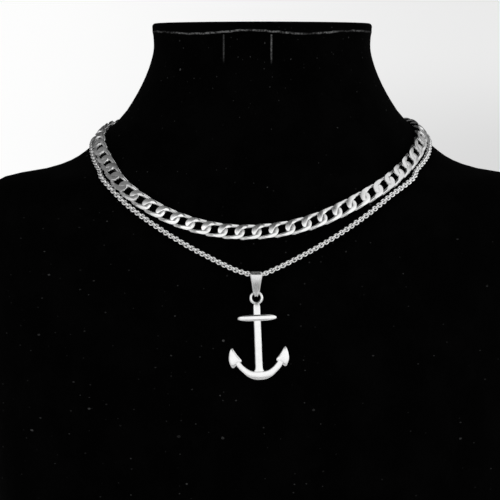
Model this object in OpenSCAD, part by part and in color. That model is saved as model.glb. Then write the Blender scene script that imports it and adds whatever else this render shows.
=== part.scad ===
// Anchor pendant necklace on a neck display bust.
// Two chain strands meet on one clasp at the nape. A flat curb chain lies high round the neck.
// A fine chain hangs lower and carries a folded bail with a cast anchor.
// Millimetres, +Z up, front faces -Y, +X to the right of the front view, base of the bust at z = 0.

/* [Bust] */
// Width across the shoulders
bust_width = 269; // [250:1:290]
// Radius of the rounded rim at the top of the neck
neck_rim_r = 1.6; // [1:0.2:3]

/* [Curb chain] */
// Width of a link across the chain
curb_width = 7; // [6.9:0.1:7.1]
// Thickness of the ground flat chain
curb_thickness = 2.6; // [2.4:0.1:2.8]
// Diameter of the wire that a link is bent from
curb_wire = 1.75; // [1.65:0.05:1.75]
// Outer length of one link
curb_link_length = 11.45; // [11.4:0.05:11.5]
// Twist of a link at each of its ends, in degrees
curb_twist = 47; // [46:1:49]

/* [Fine chain] */
// Diameter of the fine chain
fine_dia = 2.1; // [1.8:0.1:2.3]

/* [Bail] */
// Inner radius of the loop that the fine chain runs through
bail_inner_r = 1.85; // [1.8:0.05:2]
// Thickness of the folded strap
bail_strap = 0.6; // [0.5:0.05:0.65]
// Width of the strap at the top
bail_top_width = 5.5; // [5:0.1:6]
// Width of the strap at its tip
bail_tip_width = 2.2; // [2:0.1:2.4]

/* [Anchor] */
// Outer radius of the ring at the head of the anchor
ring_outer_r = 3.35; // [3.2:0.05:3.6]
// Radius of the hole in that ring
ring_hole_r = 1.9; // [1.85:0.05:2]
// Width of the shank
shank_width = 3.2; // [2.8:0.1:3.6]
// Thickness of the shank and the arms from front to back
anchor_thickness = 2.4; // [2:0.1:2.6]
// Length of the stock from tip to tip
stock_length = 17.4; // [15:0.1:20]
// Largest diameter of the stock
stock_dia = 3.1; // [2.6:0.1:3.1]
// Distance from the middle of the ring to the bottom of the crown
crown_drop = 36.8; // [34:0.1:40]
// Sideways lean of the anchor as it hangs, in degrees
anchor_lean = 2.2; // [0:0.1:4]

/* [Clasp] */
// Length of the clasp from end to end
clasp_length = 13; // [12:0.5:14]
// Thickness of the clasp
clasp_thickness = 2.4; // [2:0.1:2.6]

/* [Hidden] */

black = "#141414";
steel = "#c9ccd0";

// Form of the bust: [height, half width, front depth, back depth, hollow].
// The hollow thins the front and the back towards the sides, as below a collar bone.
// The widths are for a bust 269 wide and scale with bust_width.
bust_levels = [
    [0, 124, 81, 50, 0],
    [3, 127, 84, 53, 0],
    [30, 131, 86, 54, 0],
    [60, 133.5, 85, 54, 0.02],
    [90, 134.5, 82, 54, 0.06],
    [110, 134.5, 78.5, 53.5, 0.1],
    [130, 134.5, 74, 53, 0.14],
    [150, 134.5, 69, 52, 0.2],
    [165, 134.3, 65, 51, 0.28],
    [176, 133, 61.8, 50, 0.35],
    [183, 129.6, 59.6, 49.2, 0.4],
    [187, 121.5, 58.3, 48.8, 0.4],
    [190, 104.5, 57.3, 48.4, 0.34],
    [194, 92.5, 56, 48, 0.24],
    [200, 83.5, 53.8, 47, 0.12],
    [208, 75, 50.8, 45.4, 0.03],
    [216, 66.8, 47.8, 43.8, 0],
    [224, 61.4, 45.2, 42.4, 0],
    [232, 57.1, 43.4, 41.4, 0],
    [240, 53.9, 42.4, 40.8, 0],
    [248, 52.1, 42.2, 40.6, 0],
    [258, 52.8, 42.8, 40.9, 0]];
bust_sides = 40;
bust_steps = 2;
width_scale = bust_width / 269;
neck_top = 258;
// The neck's axis lies behind the middle of the base, so that the whole model is centred.
neck_axis_y = 16;

// Route of the curb chain on the bust: [angle round the neck, height, gap to the bust].
// Angle 0 is the front, negative angles are on the left of the front view.
curb_route = [
    [-165.4, 217.5, 1.7], [-155, 217.2, 1.3], [-140, 215.4, 0.85], [-125, 212.2, 0.8],
    [-112, 209.6, 0.8], [-100, 208.4, 0.8], [-90, 207.2, 0.7], [-80, 203.5, 0.6],
    [-70, 196, 0.85], [-60, 188.4, 1.25], [-50, 180.4, 0.75], [-40, 173.4, 0.5],
    [-30, 168.6, 0.45], [-20, 165.8, 0.45], [-10, 164.5, 0.45], [0, 164.9, 0.45],
    [10, 166.3, 0.45], [20, 169.2, 0.45], [30, 173.7, 0.45], [40, 179.4, 0.5],
    [50, 185.5, 0.5], [60, 191.2, 0.75], [70, 199, 0.75], [80, 205.6, 0.65],
    [90, 208.8, 0.65], [100, 209.6, 0.7], [112, 210.4, 0.7], [125, 212.6, 0.7],
    [140, 215.6, 0.8], [155, 217.2, 1.3], [165.4, 217.5, 1.7]];

// Route of the fine chain's left and right halves: [angle, height, gap to the bust].
// The two halves meet under the bail, which holds the chain away from the bust.
fine_left = [
    [-165.2, 212.9, 1.6], [-155, 212.6, 0.8], [-140, 210.8, 0.3], [-125, 207.4, 0.3],
    [-112, 204.8, 0.3], [-100, 203.8, 0.3], [-90, 202.9, 0.3], [-80, 199.6, 0.3],
    [-70, 192.2, 0.3], [-60, 185.4, 0.3], [-50, 175.4, 0.3], [-40, 167, 0.3],
    [-30, 159.8, 0.3], [-20, 153.6, 0.4], [-10, 148, 1.2], [-4.6, 146, 1.8]];
fine_right = [
    [-0.2, 146, 1.8], [3.3, 147.8, 1.5], [10, 151.6, 0.8], [20, 157.7, 0.4],
    [30, 164.4, 0.3], [40, 172.1, 0.3], [50, 180.7, 0.3], [60, 187.7, 0.3],
    [70, 194.1, 0.3], [80, 201.1, 0.3], [90, 204.4, 0.3], [100, 205.2, 0.3],
    [112, 206.1, 0.3], [125, 208, 0.3], [140, 211, 0.3], [155, 212.6, 0.8],
    [165.2, 212.9, 1.6]];
fine_rings = 39;
fine_sides = 8;

curb_points = 14;
curb_wire_sides = 6;

// The clasp and the two end rings lie at the nape, where each ring gathers both strands.
nape_z = 216.6;
nape_off = 2.4;
end_ring_r = 3.6;
end_ring_wire = 1.1;
link_play = 0.3;
ring_play = 0.5;
ring_roll = 29;

// The bail hangs from the middle of the fine chain, and the anchor from the bail's tip.
pendant_tilt = 11.2;
loop_sink = 0.5;
ring_drop = 10.5;

// Slope of a table's column at row i, from the rows beside it.
function slope(rows, i, c) =
    let (a = max(i - 1, 0), b = min(i + 1, len(rows) - 1))
    (rows[b][c] - rows[a][c]) / (rows[b][0] - rows[a][0]);

// Row of the table whose stretch holds x.
function row_below(rows, x, i = 0) =
    (i >= len(rows) - 2 || x < rows[i + 1][0]) ? i : row_below(rows, x, i + 1);

// Smooth value of column c at x, a cubic through the table's rows.
function smooth(rows, x, c) =
    let (i = row_below(rows, x), h = rows[i + 1][0] - rows[i][0], t = (x - rows[i][0]) / h)
    (2 * t ^ 3 - 3 * t ^ 2 + 1) * rows[i][c] + (t ^ 3 - 2 * t ^ 2 + t) * h * slope(rows, i, c)
    + (3 * t ^ 2 - 2 * t ^ 3) * rows[i + 1][c] + (t ^ 3 - t ^ 2) * h * slope(rows, i + 1, c);

// Point of a level's outline, at a running angle that spaces the points evenly.
function outline(turn, z) =
    let (depth = smooth(bust_levels, z, cos(turn) > 0 ? 2 : 3),
         thin = 1 - smooth(bust_levels, z, 4) * sin(turn) ^ 2)
    [width_scale * smooth(bust_levels, z, 1) * sin(turn),
     neck_axis_y - depth * cos(turn) * thin, z];

// Running angle at which the outline is seen at a true angle round the neck.
function turn_at(angle, z, tries = 6, turn = undef) =
    let (t = turn == undef ? angle : turn,
         depth = smooth(bust_levels, z, cos(angle) > 0 ? 2 : 3),
         thin = 1 - smooth(bust_levels, z, 4) * sin(t) ^ 2,
         width = width_scale * smooth(bust_levels, z, 1))
    tries == 0 ? t
    : turn_at(angle, z, tries - 1, atan2(sin(angle) * depth * thin, cos(angle) * width));

// Point on the bust at a true angle round the neck and a height.
function skin(angle, z) = outline(turn_at(angle, z), z);

function unit(v) = v / norm(v);

// Outward direction of the bust's surface.
function skin_normal(angle, z) =
    unit(cross(skin(angle + 1, z) - skin(angle - 1, z), skin(angle, z + 1) - skin(angle, z - 1)));

// Point that stands off the bust by a distance.
function off_skin(angle, z, off) = skin(angle, z) + off * skin_normal(angle, z);

// Running length at each point of a path.
function running(path, i = 1, total = 0, out = [0]) =
    i >= len(path) ? out
    : let (s = total + norm(path[i] - path[i - 1])) running(path, i + 1, s, concat(out, [s]));

// Index of the stretch of a path that holds length s.
function stretch(lengths, s, i = 0) =
    (i >= len(lengths) - 2 || s < lengths[i + 1]) ? i : stretch(lengths, s, i + 1);

// Value along a path at length s, for points or for numbers.
function along(values, lengths, s) =
    let (i = stretch(lengths, s), t = (s - lengths[i]) / (lengths[i + 1] - lengths[i]))
    values[i] + t * (values[i + 1] - values[i]);

// Point i of a path evened out with its neighbours, the ends of the path kept.
function evened(path, i) =
    (i < 5 || i > len(path) - 6) ? path[i]
    : [1, 2, 3, 4, 5, 6, 5, 4, 3, 2, 1] * [for (k = [i - 5 : i + 5]) path[k]] / 36;

// Angles at which a route is worked out, a fixed number between two rows.
function route_angles(rows, n) = [
    for (i = [0 : len(rows) - 2]) for (k = [0 : n - 1])
        rows[i][0] + (rows[i + 1][0] - rows[i][0]) * k / n,
    rows[len(rows) - 1][0]];

// Triangles of a strip of rings: each ring has n points, the ends are closed by flat fans.
function ring_faces(rings, n) = [
    for (i = [0 : rings - 2]) for (k = [0 : n - 1])
        let (a = i * n + k, b = i * n + (k + 1) % n) each [[a, b, b + n], [a, b + n, a + n]],
    [for (k = [n - 1 : -1 : 0]) k],
    [for (k = [0 : n - 1]) (rings - 1) * n + k]];

// The display bust

bust_heights = [
    for (i = [0 : len(bust_levels) - 2]) for (k = [0 : bust_steps - 1])
        bust_levels[i][0] + (bust_levels[i + 1][0] - bust_levels[i][0]) * k / bust_steps,
    neck_top];

function bust_ring(z, inset, rise) = [
    for (k = [0 : bust_sides - 1])
        let (p = outline(-360 * k / bust_sides, z), out = unit([p[0], p[1] - neck_axis_y, 0]))
        p - inset * out + [0, 0, rise]];

module neck_bust() {
    rim = [for (a = [30, 60, 90]) [neck_rim_r * (1 - cos(a)), neck_rim_r * sin(a)]];
    rings = concat(
        [for (z = bust_heights) bust_ring(z, 0, 0)],
        [for (r = rim) bust_ring(neck_top, r[0], r[1])]);
    color(black)
        polyhedron(points = [for (r = rings) each r], faces = ring_faces(len(rings), bust_sides));
}

// The curb chain

curb_half_length = (curb_link_length - curb_wire) / 2;
curb_half_width = (curb_width - curb_wire) / 2;
curb_angles = route_angles(curb_route, 6);
curb_laid = [for (a = curb_angles)
    off_skin(a, smooth(curb_route, a, 1), curb_thickness / 2 + smooth(curb_route, a, 2))];
curb_path = [for (i = [0 : len(curb_laid) - 1]) evened(curb_laid, i)];
curb_lengths = running(curb_path);
// Distance from an end ring's wire to the middle of the first link.
curb_lead = curb_half_length - curb_wire / 2 - end_ring_wire / 2 - ring_play;
curb_span = curb_lengths[len(curb_lengths) - 1] - 2 * curb_lead;
curb_links = 1 + round(curb_span / (curb_link_length - 2 * curb_wire - link_play));
curb_pitch = curb_span / (curb_links - 1);

// Point k of a link's centre line before the twist, evenly round two straights and two arcs.
// Point 0 is the middle of the first arc.
function stadium(k) =
    let (side = curb_half_length - curb_half_width, arc = PI * curb_half_width,
         round_trip = 4 * side + 2 * arc, turn = 180 / PI / curb_half_width,
         s = (round_trip * k / curb_points + arc / 2) % round_trip)
    s < arc ? [side + curb_half_width * cos(90 - s * turn), curb_half_width * sin(90 - s * turn)]
    : s < arc + 2 * side ? [side - (s - arc), -curb_half_width]
    : s < 2 * arc + 2 * side
        ? let (q = (s - arc - 2 * side) * turn)
          [-side - curb_half_width * sin(q), -curb_half_width * cos(q)]
    : [-side + (s - 2 * arc - 2 * side), curb_half_width];

// The same point twisted about the chain's own line.
function twisted(k) =
    let (p = stadium(k), turn = -curb_twist * p[0] / curb_half_length)
    [p[0], p[1] * cos(turn), p[1] * sin(turn)];

// Corners of the wire round point k, ground flat at the front and the back.
function wire_ring(k) =
    let (here = twisted(k), ahead = twisted((k + 1) % curb_points),
         behind = twisted((k + curb_points - 1) % curb_points),
         t = unit(ahead - behind), side = unit(cross(t, [0, 0, 1])), up = cross(side, t))
    [for (j = [0 : curb_wire_sides - 1])
        let (a = 360 * j / curb_wire_sides,
             p = here + curb_wire / 2 * (cos(a) * side + sin(a) * up))
        [p[0], p[1], min(max(p[2], -curb_thickness / 2), curb_thickness / 2)]];

link_points = [for (k = [0 : curb_points - 1]) each wire_ring(k)];
link_faces = [
    for (k = [0 : curb_points - 1]) for (j = [0 : curb_wire_sides - 1])
        let (n = curb_wire_sides, m = curb_points * n,
             a = k * n + j, b = k * n + (j + 1) % n)
        each [[a, b, (b + n) % m], [a, (b + n) % m, (a + n) % m]]];

// Outward direction at length s of the route, evened out over a link's length.
function curb_normal(s) = unit([1, 2, 1] * [
    for (d = [-1, 0, 1]) let (angle = along(curb_angles, curb_lengths, s + d * curb_pitch * 0.7))
        skin_normal(angle, smooth(curb_route, angle, 1))]);

// Roll of link i about the chain's line, which lets the end rings through the end links.
function end_roll(i) = let (from_end = min(i, curb_links - 1 - i))
    (i < curb_links / 2 ? 1 : -1) * ring_roll * max(0, 1 - from_end / 3);

// Link i laid on the bust.
function placed_link(i) =
    let (s = curb_lead + i * curb_pitch, here = along(curb_path, curb_lengths, s),
         ahead = along(curb_path, curb_lengths, s + curb_pitch / 2),
         behind = along(curb_path, curb_lengths, s - curb_pitch / 2),
         t = unit(ahead - behind), across = unit(cross(curb_normal(s), t)), up = cross(t, across),
         roll = end_roll(i), b = cos(roll) * across + sin(roll) * up, out = cross(t, b))
    [for (p = link_points) here + p[0] * t + p[1] * b + p[2] * out];

module curb_chain() {
    m = len(link_points);
    color(steel)
        polyhedron(
            points = [for (i = [0 : curb_links - 1]) each placed_link(i)],
            faces = [for (i = [0 : curb_links - 1]) for (f = link_faces) [for (v = f) v + i * m]]);
}

// The fine chain

function fine_half(rows) =
    let (angles = route_angles(rows, 6),
         path = [for (a = angles)
             off_skin(a, smooth(rows, a, 1), fine_dia / 2 + smooth(rows, a, 2))],
         lengths = running(path), total = lengths[len(lengths) - 1])
    [for (i = [0 : fine_rings - 1]) along(path, lengths, total * i / (fine_rings - 1))];

fine_path = concat(fine_half(fine_left), fine_half(fine_right));

function tube_ring(path, i, r) =
    let (t = unit(path[min(i + 1, len(path) - 1)] - path[max(i - 1, 0)]),
         side = unit(cross(t, [0, 0, 1])), up = cross(side, t))
    [for (j = [0 : fine_sides - 1])
        let (a = 360 * (j + 0.5) / fine_sides) path[i] + r * (cos(a) * side + sin(a) * up)];

module fine_chain() {
    color(steel)
        polyhedron(
            points = [for (i = [0 : len(fine_path) - 1]) each tube_ring(fine_path, i, fine_dia / 2)],
            faces = ring_faces(len(fine_path), fine_sides));
}

// The pendant, in its own frame: the fine chain's line at the origin, the back towards +Y

hang_point = (fine_path[fine_rings - 1] + fine_path[fine_rings]) / 2;
ring_mid_r = (ring_outer_r + ring_hole_r) / 2;
ring_wire_r = (ring_outer_r - ring_hole_r) / 2;
loop_outer_r = bail_inner_r + bail_strap;
eye_r = ring_wire_r + 0.275;
eye_z = -8.2;
tip_r = eye_r + bail_strap;
tip_z = -9.1;

module at_pendant() {
    translate(hang_point) rotate([-pendant_tilt, 0, 0]) children();
}

// Outline round two circles of different size on the Z line, joined by their tangents.
module drop_outline(r1, z1, r2, z2) {
    steps = 20;
    lean = asin((r1 - r2) / (z1 - z2));
    polygon(concat(
        [for (i = [0 : steps]) let (a = -lean + (180 + 2 * lean) * i / steps)
            [r1 * cos(a), z1 + r1 * sin(a)]],
        [for (i = [0 : steps]) let (a = 180 + lean + (180 - 2 * lean) * i / steps)
            [r2 * cos(a), z2 + r2 * sin(a)]]));
}

module bail() {
    shoulder_w = 3.2;
    color(steel) at_pendant() intersection() {
        rotate([90, 0, 90]) linear_extrude(height = bail_top_width + 2, center = true)
            difference() {
                drop_outline(loop_outer_r, -loop_sink, tip_r, tip_z);
                drop_outline(bail_inner_r, -loop_sink, eye_r, eye_z);
            }
        rotate([90, 0, 0]) linear_extrude(height = 4 * loop_outer_r, center = true)
            polygon([
                [-bail_top_width / 2, loop_outer_r + 1], [bail_top_width / 2, loop_outer_r + 1],
                [bail_top_width / 2, 0.6], [shoulder_w / 2, -7.9], [bail_tip_width / 2, -8.9],
                [bail_tip_width / 2, -10.1], [bail_tip_width / 4, tip_z - tip_r - 0.1],
                [-bail_tip_width / 4, tip_z - tip_r - 0.1], [-bail_tip_width / 2, -10.1],
                [-bail_tip_width / 2, -8.9], [-shoulder_w / 2, -7.9], [-bail_top_width / 2, 0.6]]);
    }
}

// The anchor, in its own frame: the middle of the ring at the origin

arm_mid_z = -25.6;
arm_outer_r = crown_drop + arm_mid_z;
arm_width = 3.2;
arm_spread = 72;
stock_z = -9.1;
fluke_tip = [12.1, -21.8];
outer_barb = [12.3, -31.6];
inner_barb = [7.5, -28.1];

module at_anchor() {
    at_pendant() translate([0, 0, -ring_drop]) rotate([0, -anchor_lean, 0]) children();
}

// Rectangle with its corners cut, w along X and h along Y.
module cut_bar(w, h, c) {
    polygon([
        [-w / 2 + c, -h / 2], [w / 2 - c, -h / 2], [w / 2, -h / 2 + c], [w / 2, h / 2 - c],
        [w / 2 - c, h / 2], [-w / 2 + c, h / 2], [-w / 2, h / 2 - c], [-w / 2, -h / 2 + c]]);
}

module head_ring() {
    rotate([90, 0, 0]) rotate_extrude($fn = 48)
        translate([ring_mid_r, 0]) circle(r = ring_wire_r, $fn = 24);
}

module shank() {
    foot = [[1.3, -30.2], [1.7, -31.4], [2.5, -32.3], [3.9, -33]];
    translate([0, 0, -crown_drop + 3]) linear_extrude(height = crown_drop - 3 - ring_mid_r + 0.3)
        cut_bar(shank_width, anchor_thickness, 0.6);
    rotate([90, 0, 0]) linear_extrude(height = anchor_thickness - 0.6, center = true)
        polygon(concat(
            foot, [[3.9, -34], [-3.9, -34]],
            [for (i = [len(foot) - 1 : -1 : 0]) [-foot[i][0], foot[i][1]]]));
}

// Round bar that thins towards its blunt tips.
module stock() {
    steps = 9;
    half = stock_length / 2;
    translate([0, 0, stock_z]) rotate([0, 90, 0]) rotate_extrude($fn = 32)
        polygon(concat(
            [[0, -half]],
            [for (i = [0 : steps])
                let (a = 180 * i / steps - 90, x = sin(a))
                [stock_dia / 2 * max(0.3, (1 - abs(x) ^ 2.6) ^ 0.75), half * 0.985 * x]],
            [[0, half]]));
}

module arms() {
    translate([0, 0, arm_mid_z]) rotate([90, 0, 0]) rotate([0, 0, -90 - arm_spread])
        rotate_extrude(angle = 2 * arm_spread, $fn = 96)
            translate([arm_outer_r - arm_width / 2, 0])
                cut_bar(arm_width, anchor_thickness, 0.6);
}

// Arrow-shaped end of an arm with a ridge from its tip to the arm.
module fluke() {
    axis = atan2(fluke_tip[0] - 9.6, fluke_tip[1] + 30);
    outer = [for (t = [0 : 0.125 : 1])
        let (c1 = [14.4, -24.6], c2 = [14.6, -29.2])
        (1 - t) ^ 3 * fluke_tip + 3 * (1 - t) ^ 2 * t * c1 + 3 * (1 - t) * t ^ 2 * c2
        + t ^ 3 * outer_barb];
    intersection() {
        rotate([90, 0, 0]) linear_extrude(height = 4, center = true)
            polygon(concat(outer, [[11.5, -31.5], [10.4, -30], [8.3, -28.8], inner_barb]));
        translate([9.6, 0, -30]) rotate([0, axis, 0])
            translate([0, 0, -4]) linear_extrude(height = 16)
                polygon([[-4, -0.5], [0, -1.3], [4.4, -0.5], [4.4, 0.5], [0, 1.3], [-4, 0.5]]);
    }
}

module anchor() {
    color(steel) at_anchor() union() {
        head_ring();
        shank();
        stock();
        arms();
        fluke();
        mirror([1, 0, 0]) fluke();
    }
}

// The clasp and the end rings, in the nape's frame: +X as before, +Y down, +Z away from the neck

nape_tilt = acos(skin_normal(180, nape_z)[2]);
claw_r = 2;
claw_hole_r = 0.95;
claw_x = clasp_length / 2 - claw_r;
ring_x = claw_x + end_ring_r;

module at_nape() {
    translate(off_skin(180, nape_z, nape_off)) rotate([-nape_tilt, 0, 0]) children();
}

module clasp() {
    color(steel) at_nape() rotate([90, 0, 0])
        linear_extrude(height = clasp_thickness, center = true) difference() {
            union() {
                for (side = [-1, 1]) translate([side * claw_x, 0]) circle(r = claw_r, $fn = 32);
                square([2 * claw_x, 1.7 * claw_r], center = true);
            }
            for (side = [-1, 1])
                translate([side * claw_x, 0]) circle(r = claw_hole_r, $fn = 24);
        }
}

module end_ring(side) {
    color(steel) at_nape() translate([side * ring_x, 0, 0])
        rotate_extrude($fn = 48) translate([end_ring_r, 0]) circle(r = end_ring_wire / 2, $fn = 16);
}

module left_end_ring() { end_ring(-1); }
module right_end_ring() { end_ring(1); }

neck_bust();
curb_chain();
fine_chain();
bail();
anchor();
clasp();
left_end_ring();
right_end_ring();
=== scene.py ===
"""Looks of the anchor pendant necklace and the neck bust that shows it.

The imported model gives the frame. The bust, the chains, the bail and the anchor are modelled here in
millimetres, at the places that the model's source gives them, and each finished piece is brought to metres.
"""

import logging
import math
from contextlib import contextmanager
from dataclasses import dataclass, field
from enum import Enum, IntEnum
from typing import Callable, Iterable, Iterator, Sequence

import bmesh
import bpy
from mathutils import Matrix, Vector


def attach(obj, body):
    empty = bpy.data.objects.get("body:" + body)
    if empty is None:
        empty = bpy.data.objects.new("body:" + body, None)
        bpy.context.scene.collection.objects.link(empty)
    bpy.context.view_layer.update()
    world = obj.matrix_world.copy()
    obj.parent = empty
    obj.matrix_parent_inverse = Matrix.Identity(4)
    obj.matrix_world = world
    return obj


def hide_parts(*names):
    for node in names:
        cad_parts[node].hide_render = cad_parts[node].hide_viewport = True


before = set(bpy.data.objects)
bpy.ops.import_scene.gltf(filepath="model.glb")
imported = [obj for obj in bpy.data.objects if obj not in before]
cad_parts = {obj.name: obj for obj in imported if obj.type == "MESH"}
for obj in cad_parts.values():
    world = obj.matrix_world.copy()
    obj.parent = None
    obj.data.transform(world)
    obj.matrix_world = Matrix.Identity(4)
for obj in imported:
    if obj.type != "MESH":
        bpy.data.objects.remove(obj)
log = logging.getLogger("necklace")

MM = 0.001
SAME_PLACE = 0.001
Pair = tuple[float, float]
Table = tuple[tuple[float, ...], ...]


# ---- Shader expressions ----


class Socket:
    """An output socket of a node, with the operators that shader maths is written in."""

    def __init__(self, recipe: "Recipe", link: bpy.types.NodeSocket) -> None:
        """Wraps a socket.

        Args:
            recipe: The material recipe that owns the node.
            link: The node's output socket.
        """
        self.recipe = recipe
        self.link = link

    def math(self, operation: str, *others: "Socket | float", swap: bool = False) -> "Socket":
        """Adds a Math node on this value and others.

        Args:
            operation: The Math node's operation.
            others: The other inputs.
            swap: True if this value is the second input.

        Returns:
            The node's result.
        """
        terms = [self, *others]
        if swap:
            terms = [others[0], self]
        return self.recipe.node("ShaderNodeMath", {"operation": operation}, dict(enumerate(terms)))

    def __add__(self, other: "Socket | float") -> "Socket":
        """Sum."""
        return self.math("ADD", other)

    __radd__ = __add__

    def __sub__(self, other: "Socket | float") -> "Socket":
        """Difference."""
        return self.math("SUBTRACT", other)

    def __rsub__(self, other: "Socket | float") -> "Socket":
        """Difference, turned round."""
        return self.math("SUBTRACT", other, swap=True)

    def __mul__(self, other: "Socket | float") -> "Socket":
        """Product."""
        return self.math("MULTIPLY", other)

    __rmul__ = __mul__

    def below(self, limit: "Socket | float") -> "Socket":
        """1 where this value is below a limit, and 0 elsewhere."""
        return self.math("LESS_THAN", limit)

    def above(self, limit: "Socket | float") -> "Socket":
        """1 where this value is above a limit, and 0 elsewhere."""
        return self.math("GREATER_THAN", limit)

    def magnitude(self) -> "Socket":
        """Value without its sign."""
        return self.math("ABSOLUTE")

    def cosine(self) -> "Socket":
        """Cosine of an angle in radians."""
        return self.math("COSINE")

    def angle_from(self, other: "Socket | float") -> "Socket":
        """Angle in radians whose tangent is this value over another."""
        return self.math("ARCTAN2", other)

    def rise(self, start: float, end: float, low: float = 0.0, high: float = 1.0) -> "Socket":
        """Smooth step of this value.

        Args:
            start: Where the step starts.
            end: Where it ends, below the start for a step the other way.
            low: Result at the start.
            high: Result at the end.

        Returns:
            The result.
        """
        return self.recipe.node(
            "ShaderNodeMapRange",
            {"interpolation_type": "SMOOTHSTEP"},
            {"Value": self, "From Min": start, "From Max": end, "To Min": low, "To Max": high},
        )


class Recipe:
    """A node tree under construction."""

    def __init__(self, owner: bpy.types.Material | bpy.types.World) -> None:
        """Starts a node tree with no nodes.

        Args:
            owner: The material or the world that is built.
        """
        owner.use_nodes = True
        self.owner = owner
        self.tree = owner.node_tree
        self.tree.nodes.clear()

    @classmethod
    def named(cls, name: str) -> "Recipe":
        """Recipe of a new material."""
        return cls(bpy.data.materials.new(name))

    def node(
        self,
        kind: str,
        settings: dict[str, object] | None = None,
        inputs: dict[str | int, object] | None = None,
        output: str | int = 0,
    ) -> Socket:
        """Adds any node.

        Args:
            kind: The node's type.
            settings: Its settings, set before its sockets.
            inputs: The value or link of each socket, by name or number.
            output: The wanted output.

        Returns:
            The output, wrapped.
        """
        node = self.tree.nodes.new(kind)
        for key, value in (settings or {}).items():
            setattr(node, key, value)
        for key, value in (inputs or {}).items():
            if isinstance(value, Socket):
                self.tree.links.new(value.link, node.inputs[key])
            else:
                node.inputs[key].default_value = value
        return Socket(self, node.outputs[output])

    def millimetres(self) -> Socket:
        """Object coordinates in millimetres."""
        place = self.node("ShaderNodeTexCoord", output="Object")
        return self.node("ShaderNodeVectorMath", {"operation": "SCALE"}, {0: place, "Scale": 1 / MM})

    def axis(self, place: Socket, name: str) -> Socket:
        """One coordinate of a place, X, Y or Z."""
        return self.node("ShaderNodeSeparateXYZ", inputs={0: place}, output=name)

    def stretched(self, place: Socket, scale: Sequence[float]) -> Socket:
        """Place scaled by its own factor along each axis."""
        return self.node("ShaderNodeMapping", inputs={"Vector": place, "Scale": tuple(scale)})

    def noise(self, place: Socket, scale: float, detail: float = 2.0, rough: float = 0.5) -> Socket:
        """Noise value between 0 and 1.

        Args:
            place: Where it is read.
            scale: Cells to a millimetre.
            detail: Octaves of finer noise.
            rough: Strength of each next octave.

        Returns:
            The value.
        """
        return self.node(
            "ShaderNodeTexNoise",
            inputs={"Vector": place, "Scale": scale, "Detail": detail, "Roughness": rough},
        )

    def blend(self, mask: Socket, first: object, second: object) -> Socket:
        """Mix of two colours.

        Args:
            mask: 0 for the first colour, 1 for the second.
            first: The first colour.
            second: The second colour.

        Returns:
            The mixed colour.
        """
        return self.node(
            "ShaderNodeMix", {"data_type": "RGBA"}, {0: mask, 6: first, 7: second}, output=2
        )

    def bump(self, height: Socket, distance: float, strength: float = 1.0) -> Socket:
        """Normal of a relief.

        Args:
            height: The relief, between 0 and 1.
            distance: Its depth in millimetres.
            strength: Share of it that shows.

        Returns:
            The normal.
        """
        return self.node(
            "ShaderNodeBump",
            inputs={"Height": height, "Distance": distance * MM, "Strength": strength},
            output="Normal",
        )

    def surface(self, inputs: dict[str | int, object]) -> bpy.types.Material:
        """Closes the material with a Principled surface.

        Args:
            inputs: The surface's sockets.

        Returns:
            The material.
        """
        shader = self.node("ShaderNodeBsdfPrincipled", inputs=inputs)
        end = self.tree.nodes.new("ShaderNodeOutputMaterial")
        self.tree.links.new(shader.link, end.inputs["Surface"])
        return self.owner


def grey(level: float) -> tuple[float, float, float, float]:
    """Neutral colour of a linear level."""
    return (level, level, level, 1.0)


@dataclass(frozen=True)
class SteelFinish:
    """Polished or satin steel with the marks of wear and handling.

    The clouds and the film are in cells to a millimetre, and so is each mark's stretch along X, Y and Z.
    """

    name: str
    level: float = 0.74
    roughness: float = 0.16
    haze: float = 0.1
    scratch: float = 0.004
    grain: float = 0.0
    dulled: float = 0.86
    clouds: float = 0.35
    film: float = 1.6
    hairs: tuple[float, float, float] = (9.0, 9.0, 0.7)
    crossed_hairs: tuple[float, float, float] = (0.8, 9.0, 7.0)
    brushing: tuple[float, float, float] = (14.0, 14.0, 0.25)

    def material(self) -> bpy.types.Material:
        """Material of the steel: a clouded polish, hair scratches and, where brushed, lengthwise grain.

        Returns:
            The material.
        """
        r = Recipe.named(self.name)
        place = r.millimetres()
        cloud = r.noise(place, self.clouds, 3.0)
        film = r.noise(place, self.film, 4.0, 0.6)
        hairs = r.noise(r.stretched(place, self.hairs), 1.0, 2.0, 0.7)
        crossed = r.noise(r.stretched(place, self.crossed_hairs), 1.0, 2.0, 0.7)
        lines = r.noise(r.stretched(place, self.brushing), 1.0, 3.0, 0.7)
        tone = r.blend(
            cloud.rise(0.3, 0.7) * 0.6 + film.rise(0.35, 0.7) * 0.4,
            grey(self.level * self.dulled),
            grey(self.level),
        )
        rough = (
            self.roughness
            + (film - 0.5) * self.haze
            + cloud.rise(0.45, 0.8) * (self.haze * 0.5)
            + (lines - 0.5) * (self.grain * 0.5)
        )
        relief = (hairs.above(0.66) + crossed.above(0.68)) * -0.5 + film * 0.3 + lines * self.grain
        return r.surface(
            {
                "Base Color": tone,
                "Metallic": 1.0,
                "Roughness": rough,
                "Normal": r.bump(relief, self.scratch + self.grain * 0.01),
            }
        )


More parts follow.
